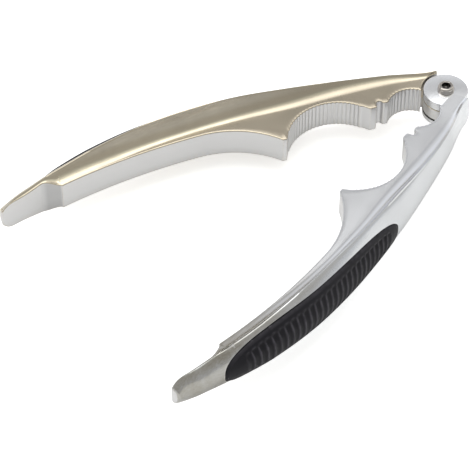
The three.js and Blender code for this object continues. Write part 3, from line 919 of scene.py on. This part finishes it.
def grip_skin(bm, sizes):
    """The grip: an oval pad that follows the back, with a rounded rim and curved cross ribs."""
    pitch, depth, border = sizes.rib_pitch / MM, sizes.rib_depth / MM, sizes.rib_border / MM
    half_length, half_width = GRIP_LENGTH / 2, GRIP_WIDTH / 2
    centre = GRIP_START + half_length

    def inside(x, across):
        """About how far a point is inside the oval."""
        a, b = abs(x - centre) / half_length, abs(across) / half_width
        level = (a**GRIP_FULLNESS + b**GRIP_FULLNESS) ** (1 / GRIP_FULLNESS)
        if level < 1e-6:
            return half_width
        slope_x = (a / level) ** (GRIP_FULLNESS - 1) / half_length
        slope_w = (b / level) ** (GRIP_FULLNESS - 1) / half_width
        return (1 - level) / max(math.hypot(slope_x, slope_w), 1e-6)

    def lift(x, across):
        """How far the grip stands off the back."""
        d = inside(x, across)
        rounded = GRIP_RIM - math.sqrt(max(0.0, GRIP_RIM**2 - max(0.0, GRIP_RIM - d) ** 2))
        swell = smoothstep((x - GRIP_START) / GRIP_LENGTH, *GRIP_SWELL)
        middle = mix(GRIP_PROUD_START, GRIP_PROUD_END, swell)
        proud = mix(GRIP_SHOULDER, middle, smoothstep(d, 0.0, half_width))
        ribbed = smoothstep(d, border - 0.5, border + 0.6)
        ribbed *= smoothstep(x, GRIP_START + 4, GRIP_START + 8)
        ribbed *= smoothstep(-x, -GRIP_END + 7, -GRIP_END + 11)
        bow = RIB_BOW * (across / half_width) ** 2
        wave = 0.5 - 0.5 * math.cos(2 * math.pi * (x + bow) / pitch)
        groove = 1 - wave**RIB_SHARPNESS
        return proud - rounded - depth * ribbed * groove

    fine = [centre - half_length * math.cos(math.pi * i / 420) for i in range(421)]
    rings = []
    for x in fine:
        width = max(oval_half_width(x), 0.004)
        across = [width * math.sin(math.pi / 2 * t) for t in evenly(-1, 1, 44)]
        ring = [on_back(x, w, lift(x, w)) for w in across]
        under = [width * math.sin(math.pi / 2 * t) for t in evenly(1, -1, 8)]
        ring += [on_back(x, w, -GRIP_DEPTH) for w in under]
        rings.append(ring)
    skin(bm, rings)


def turned_rings(profile, lobes, segments=96):
    """Rings for a turned piece; a row is radius, height, and its share of the socket's lobes."""
    rings = []
    for radius, height, lobe in profile:
        ring = []
        for i in range(segments):
            angle = 2 * math.pi * i / segments
            reach = radius + lobe * SOCKET_LOBE * math.cos(lobes * angle)
            ring.append(Vector((reach * math.cos(angle), reach * math.sin(angle), height)))
        rings.append(ring)
    return rings


def pin_skin(bm, shank, head, lobes):
    """A screw or sleeve nut, head up: shank rows first, then a low domed head with a socket."""
    rows = [
        *shank,
        (head - 0.08, 0.0, 0),
        (head, 0.08, 0),
        (head, 0.42, 0),
        (head - 0.06, 0.55, 0),
        (head - 0.14, 1.1, 0),
        (head - 0.28, 1.6, 0),
        (head - 0.48, 1.95, 0),
        (head - 0.68, 2.13, 0),
        (head - 0.86, 2.2, 0),
        (2.05, 2.2, 0.25),
        (1.85, 2.19, 0.8),
        (1.72, 2.12, 1),
        (1.62, 1.95, 1),
        (1.6, 1.5, 1),
        (1.6, 1.0, 1),
        (1.55, 0.92, 1),
        (0.7, 0.9, 0.2),
        (0.5, 0.86, 0),
        (0.0, 0.7, 0),
    ]
    skin(bm, turned_rings(rows, lobes))


def washer_skin(bm, thickness):
    """A flat ring with rounded edges, turned round its own axis."""
    outer, round_edge = EAR_RADIUS - 0.5, thickness * 0.3
    corners = [(BORE_RADIUS, 0), (outer, 0), (outer, thickness), (BORE_RADIUS, thickness)]
    profile = []
    for i, (r, z) in enumerate(corners):
        inward_r = 1 if r == BORE_RADIUS else -1
        inward_z = 1 if z == 0 else -1
        first, second = (r + inward_r * round_edge, z), (r, z + inward_z * round_edge)
        pair = (first, second) if i in (1, 3) else (second, first)
        middle = (r + inward_r * round_edge * 0.3, z + inward_z * round_edge * 0.3)
        profile += [pair[0], middle, pair[1]]
    points = [bm.verts.new((r, 0, z)) for r, z in profile]
    edges = [bm.edges.new((a, b)) for a, b in zip(points, [*points[1:], points[0]])]
    bmesh.ops.spin(bm, geom=[*points, *edges], cent=(0, 0, 0), axis=(0, 0, 1), angle=2 * math.pi,
                   steps=ROUND_STEPS, use_merge=True)
    bmesh.ops.remove_doubles(bm, verts=bm.verts[:], dist=SAME_POINT)
    bmesh.ops.recalc_face_normals(bm, faces=bm.faces[:])


# Metres along each lever between which its painted reflection turns from one tone to the other
FORK_FADE = (0.095, 0.150)
TONGUE_FADE = (0.055, 0.100)


class NUTCRACKER_OT_levers(bpy.types.Operator):
    """Make the fork lever and the tongue lever"""

    bl_idname = "nutcracker.levers"
    bl_label = "Levers"

    def execute(self, context):
        sizes, tones = context.scene.nutcracker_sizes, context.scene.nutcracker_colours
        far, shoulder, rim = 60.0, SHOULDER_RADIUS, 0.3
        fork = carve(
            solid("fork_casting", lever_skin, sizes),
            ("UNION", solid("ears", disc, EAR_RADIUS, -WEB_HALF, WEB_HALF, 0.35)),
            ("DIFFERENCE", solid("slot", disc, SHOULDER_RADIUS, SLOT_BOTTOM, SLOT_TOP)),
            ("DIFFERENCE", solid("bore", disc, BORE_RADIUS, -far, far)),
            ("DIFFERENCE", solid("pocket", pocket_cutter)),
        )
        tongue = carve(
            solid("tongue_casting", lever_skin, sizes),
            ("DIFFERENCE", solid("above", flared_disc, shoulder, KNUCKLE_TOP, far, WEB_HALF, rim)),
            ("DIFFERENCE", solid("below", flared_disc, shoulder, KNUCKLE_BOTTOM, -far, -WEB_HALF, rim)),
            ("UNION", solid("knuckle", disc, EAR_RADIUS, KNUCKLE_BOTTOM, KNUCKLE_TOP, rim)),
            ("DIFFERENCE", solid("bore", disc, BORE_RADIUS, -far, far)),
            ("DIFFERENCE", solid("pocket", pocket_cutter)),
        )
        wall_reflection = tones.inner_wall_reflection
        fork_metal = satin_nickel(
            "fork satin nickel", -1, tones.fork_nickel, tones.fork_tip_reflection, wall_reflection, FORK_FADE
        )
        tongue_metal = satin_nickel(
            "tongue satin nickel", 1, tones.tongue_jaws_reflection, tones.tongue_warm_reflection, wall_reflection, TONGUE_FADE
        )
        place(fork, lever_matrix(-1), "fork", "fork_satin_nickel", fork_metal)
        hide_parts("fork_lever")
        place(tongue, lever_matrix(1), "tongue", "tongue_satin_nickel", tongue_metal)
        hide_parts("tongue_lever")
        return {"FINISHED"}


class NUTCRACKER_OT_grips(bpy.types.Operator):
    """Make the ribbed rubber grips"""

    bl_idname = "nutcracker.grips"
    bl_label = "Grips"

    def execute(self, context):
        sizes, tones = context.scene.nutcracker_sizes, context.scene.nutcracker_colours
        # The paler tone is a painted highlight on the ribs' crests and the grip's rim.
        rubber = moulded("grip rubber", tones.rubber, 0.40, 0.00003, (0.105, 0.098, 0.115), 0.15)
        for side, body in ((-1, "fork"), (1, "tongue")):
            grip = solid(f"{body}_ribbed_grip", grip_skin, sizes)
            place(grip, lever_matrix(side), body, "grip_rubber", rubber, 60)
            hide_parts(f"{body}_lever_grip")
        return {"FINISHED"}


class NUTCRACKER_OT_pivot(bpy.types.Operator):
    """Make the pivot screw and its sleeve nut"""

    bl_idname = "nutcracker.pivot"
    bl_label = "Pivot screw and nut"

    def execute(self, context):
        sizes, tones = context.scene.nutcracker_sizes, context.scene.nutcracker_colours
        steel = polished_steel("polished steel", tones.steel)
        head = sizes.head_radius / MM
        between_heads = 2 * WEB_HALF + 2 * SEAT_GAP
        end = -(between_heads - 2.3)
        barrel_end = -(between_heads - 0.3)
        shank = [(0, end, 0), (1.3, end, 0), (1.5, end + 0.2, 0), (1.5, 0.0, 0)]
        barrel = [(0, -2, 0), (1.6, -2, 0), (1.6, barrel_end + 0.2, 0), (1.8, barrel_end, 0),
                  (2.3, barrel_end, 0), (2.5, barrel_end + 0.2, 0), (2.5, 0, 0)]
        seat = WEB_HALF + SEAT_GAP
        up = PIVOT_MATRIX @ Matrix.Translation((0, 0, seat)) @ Matrix.Rotation(math.radians(12), 4, "Z")
        down = PIVOT_MATRIX @ Matrix.Translation((0, 0, -seat)) @ Matrix.Rotation(math.pi, 4, "X")
        screw = solid("socket_screw", pin_skin, shank, head, sizes.lobes)
        place(screw, up, "fork", "polished_steel", steel, 40)
        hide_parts("pivot_screw")
        nut = solid("sleeve_nut", pin_skin, barrel, head, sizes.lobes)
        place(nut, down, "fork", "polished_steel", steel, 40)
        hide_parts("pivot_sleeve_nut")
        return {"FINISHED"}


class NUTCRACKER_OT_washers(bpy.types.Operator):
    """Make the two washers beside the knuckle"""

    bl_idname = "nutcracker.washers"
    bl_label = "Washers"

    def execute(self, context):
        tones = context.scene.nutcracker_colours
        nylon = moulded("washer nylon", tones.nylon, 0.4, 0.00002, (0.03, 0.03, 0.032))
        rows = (
            ("top_nylon_washer", "upper_washer", KNUCKLE_TOP + SEAT_GAP, 0.3),
            ("bottom_nylon_washer", "lower_washer", SLOT_BOTTOM + SEAT_GAP, 0.7),
        )
        for name, node, level, thickness in rows:
            at = PIVOT_MATRIX @ Matrix.Translation((0, 0, level))
            washer = place(solid(name, washer_skin, thickness), at, "fork", "washer_nylon", nylon)
            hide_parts(node)
        return {"FINISHED"}


# --- The stage ---

# Light round the tool: degrees from straight up, towards the near side, then its colour and level
SKY = [
    (-90, (0.86, 0.88, 0.92), 0.95),
    (-70, (0.95, 0.96, 1.00), 1.12),
    (-56, (1.0, 1.0, 1.0), 0.88),
    (-45, (1.0, 1.0, 1.0), 0.40),
    (-34, (1.0, 0.99, 0.98), 0.52),
    (-21, (1.0, 0.98, 0.96), 1.75),
    (-8, (1.0, 0.99, 0.96), 0.95),
    (0, (0.97, 1.0, 0.96), 0.80),
    (10, (0.97, 1.0, 0.95), 1.42),
    (21, (0.95, 1.0, 0.96), 0.52),
    (34, (0.98, 0.97, 0.94), 0.60),
    (52, (0.98, 0.96, 0.92), 0.58),
    (68, (0.96, 0.97, 0.96), 0.62),
    (80, (0.94, 0.96, 1.0), 0.80),
    (90, (0.90, 0.94, 1.0), 0.62),
]


NEAR_SIDE = (-0.292, -0.956, 0)
CAMERA_OFFSET = Vector((-0.4755, -0.4840, 0.6587))  # from the pivot, in metres
CAMERA_TURN = (math.radians(42.45), 0, math.radians(-37.57))
CAMERA_LENS = 184.9
FLOOR_GLOW = (0.08, 0.60)  # strength of the floor's own light: to everything else, and to the camera


def sky_world():
    """A studio surround: bright and dark bands over the tool."""
    world = bpy.data.worlds.new("studio surround")
    bpy.context.scene.world = world
    world.use_nodes = True
    nodes = Nodes(world.node_tree)
    direction = nodes.add("ShaderNodeTexCoord").outputs["Generated"]
    near = nodes.add("ShaderNodeVectorMath", {"operation": "DOT_PRODUCT"})
    nodes.feed(near.inputs[0], direction)
    near.inputs[1].default_value = NEAR_SIDE
    up = nodes.add("ShaderNodeSeparateXYZ", Vector=direction).outputs[2]
    angle = nodes.maths("ARCTAN2", near.outputs["Value"], nodes.maths("MAXIMUM", up, 0.0))
    share = nodes.ranged(angle, -math.pi / 2, math.pi / 2)
    ramp = nodes.add("ShaderNodeValToRGB", None, Fac=share)
    ramp.color_ramp.interpolation = "B_SPLINE"
    stops = ramp.color_ramp.elements
    stops[0].position, stops[1].position = 0.0, 1.0
    for degrees, _, _ in SKY[1:-1]:
        stops.new(degrees / 180 + 0.5)
    for stop, (degrees, tone, level) in zip(stops, SKY):
        stop.color = rgba(tone, level / 2)
    background = nodes.add("ShaderNodeBackground", None, Color=ramp.outputs[0], Strength=2.0)
    output = nodes.add("ShaderNodeOutputWorld")
    nodes.feed(output.inputs["Surface"], background.outputs[0])


def floor_mesh(bm):
    bmesh.ops.create_grid(bm, x_segments=8, y_segments=8, size=3.0)


class NUTCRACKER_OT_stage(bpy.types.Operator):
    """Make the floor, the light and the camera"""

    bl_idname = "nutcracker.stage"
    bl_label = "Stage"

    def execute(self, context):
        scene = context.scene
        scene.view_settings.view_transform = "Standard"
        sky_world()
        floor = solid("floor", floor_mesh)
        material, nodes = new_material("pale floor")
        tone = rgba(scene.nutcracker_colours.floor)
        vector = nodes.add("ShaderNodeTexCoord").outputs["Object"]
        cloud = nodes.add("ShaderNodeTexNoise", Vector=vector, Scale=40.0)
        paper = nodes.blend(cloud.outputs[0], tone, rgba(scene.nutcracker_colours.floor, 0.985))
        seen = nodes.add("ShaderNodeLightPath").outputs["Is Camera Ray"]
        glow = nodes.ranged(seen, 0.0, 1.0, *FLOOR_GLOW)
        shade(nodes, {"Roughness": 0.9, "Specular IOR Level": 0.1, "Emission Color": (1, 1, 1, 1)},
              Base_Color=paper, Emission_Strength=glow)
        floor.data.materials.append(material)
        lamp = bpy.data.lights.new("overhead softbox", "AREA")
        lamp.shape, lamp.size, lamp.size_y, lamp.energy = "RECTANGLE", 1.6, 1.0, 7.0
        light = bpy.data.objects.new("overhead softbox", lamp)
        light.location = (0.1, 0.35, 1.5)
        light.rotation_euler = (math.radians(-13), 0, 0)
        scene.collection.objects.link(light)
        camera_data = bpy.data.cameras.new("camera")
        camera_data.lens, camera_data.sensor_width = CAMERA_LENS, 36
        camera = bpy.data.objects.new("camera", camera_data)
        camera.location = PIVOT + CAMERA_OFFSET
        camera.rotation_euler = CAMERA_TURN
        scene.collection.objects.link(camera)
        scene.camera = camera
        return {"FINISHED"}


# --- The panel, and making it all ---

OPERATORS = (
    NUTCRACKER_OT_stage,
    NUTCRACKER_OT_levers,
    NUTCRACKER_OT_grips,
    NUTCRACKER_OT_pivot,
    NUTCRACKER_OT_washers,
)


class NUTCRACKER_PT_panel(bpy.types.Panel):
    bl_idname = "NUTCRACKER_PT_panel"
    bl_label = "Nutcracker"
    bl_space_type = "VIEW_3D"
    bl_region_type = "UI"
    bl_category = "Nutcracker"

    def draw(self, context):
        for group_of in (context.scene.nutcracker_sizes, context.scene.nutcracker_colours):
            for name in group_of.__annotations__:
                self.layout.prop(group_of, name)
        for operator in OPERATORS:
            self.layout.operator(operator.bl_idname)


CLASSES = (NutcrackerSizes, NutcrackerColours, *OPERATORS, NUTCRACKER_PT_panel)


def register():
    for cls in CLASSES:
        bpy.utils.register_class(cls)
    bpy.types.Scene.nutcracker_sizes = PointerProperty(type=NutcrackerSizes)
    bpy.types.Scene.nutcracker_colours = PointerProperty(type=NutcrackerColours)


def unregister():
    del bpy.types.Scene.nutcracker_sizes
    del bpy.types.Scene.nutcracker_colours
    for cls in reversed(CLASSES):
        bpy.utils.unregister_class(cls)


def main():
    register()
    bpy.ops.nutcracker.stage()
    bpy.ops.nutcracker.levers()
    bpy.ops.nutcracker.grips()
    bpy.ops.nutcracker.pivot()
    bpy.ops.nutcracker.washers()


if __name__ == "__main__":
    main()
